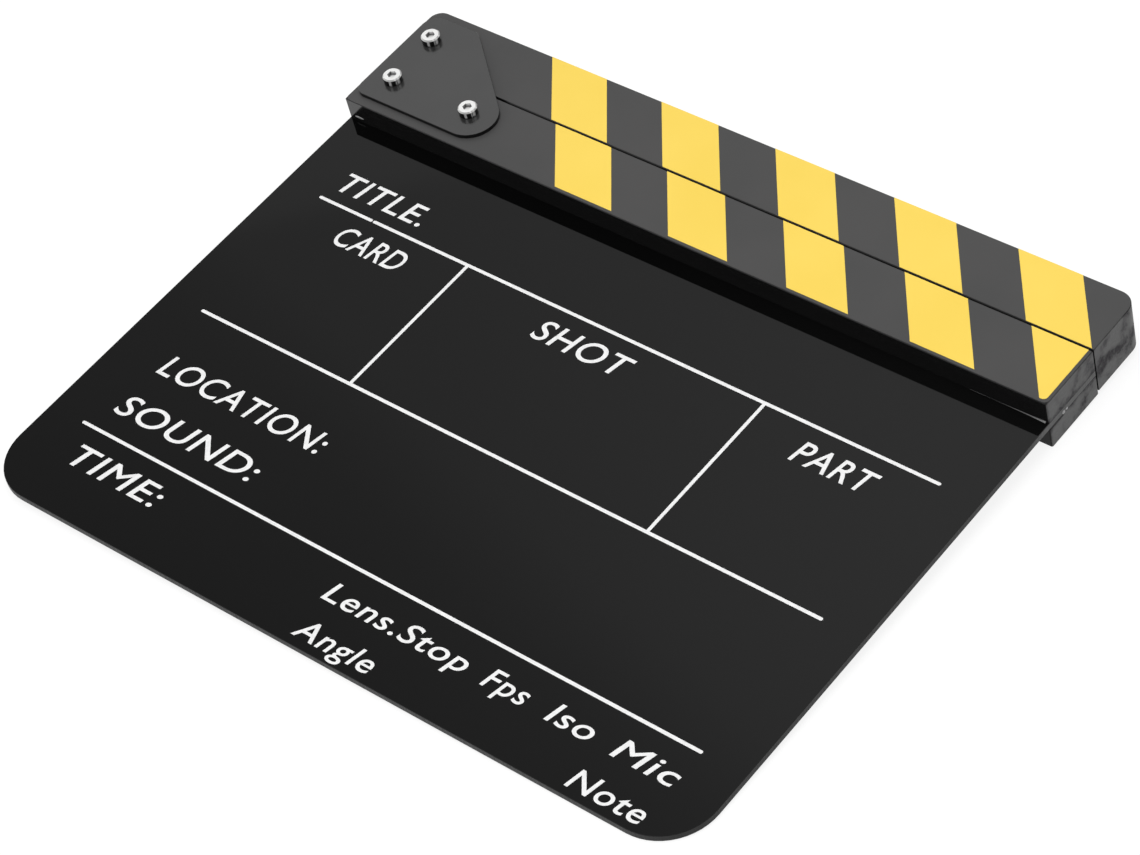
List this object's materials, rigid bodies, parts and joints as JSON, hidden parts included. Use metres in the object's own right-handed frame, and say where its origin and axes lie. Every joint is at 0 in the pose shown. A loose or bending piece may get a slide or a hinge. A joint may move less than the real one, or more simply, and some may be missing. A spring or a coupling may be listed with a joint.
{
  "type": "clapperboard",
  "caption": "Film clapperboard: a glossy black acrylic slate with a striped lower stick bonded along its top and a striped upper stick that claps on a corner hinge.",
  "frame": {"origin": "under the middle of the board, level with the backs of the sleeve nuts' heads, the lowest faces of the board as it lies on its back", "axes": "+X along the sticks from the hinge to the free end, +Y from the slate's foot to the sticks, +Z out of the writing face"},
  "size_m": [0.3, 0.245, 0.028],
  "materials": {
    "panel_acrylic": "polished black acrylic",
    "bar_acrylic": "black acrylic, sawn ends",
    "face_film": "satin black film",
    "stripe_film": "satin yellow film",
    "hinge_plates": "satin black paint",
    "bright_fasteners": "bright plated steel",
    "slip_washers": "natural nylon",
    "magnets": "plated magnet",
    "white_print": "white screen print on the slate's face"
  },
  "bodies": {
    "board": {"slate_panel": "panel_acrylic", "lower_stick_front_bar": "bar_acrylic", "lower_stick_rear_bar": "bar_acrylic", "lower_stick_face_film": "face_film", "lower_stick_stripes": "stripe_film", "lower_stick_magnet": "magnets", "front_hinge_plate": "hinge_plates", "rear_hinge_plate": "hinge_plates", "hinge_fixing_screws": "bright_fasteners", "pivot_screw": "bright_fasteners", "hinge_fixing_sleeves": "bright_fasteners", "pivot_sleeve": "bright_fasteners", "front_pivot_washer": "slip_washers", "rear_pivot_washer": "slip_washers"},
    "upper_stick": {"upper_stick_front_bar": "bar_acrylic", "upper_stick_core_strip": "bar_acrylic", "upper_stick_rear_bar": "bar_acrylic", "upper_stick_face_film": "face_film", "upper_stick_stripes": "stripe_film", "upper_stick_magnet": "magnets"}
  },
  "joints": [
    {"name": "clapper_hinge", "type": "hinge", "parent": "board", "child": "upper_stick", "pos_m": [-0.1396, 0.1073, 0.0137], "axis": [0, 0, 1], "range_deg": [0, 90]}
  ]
}
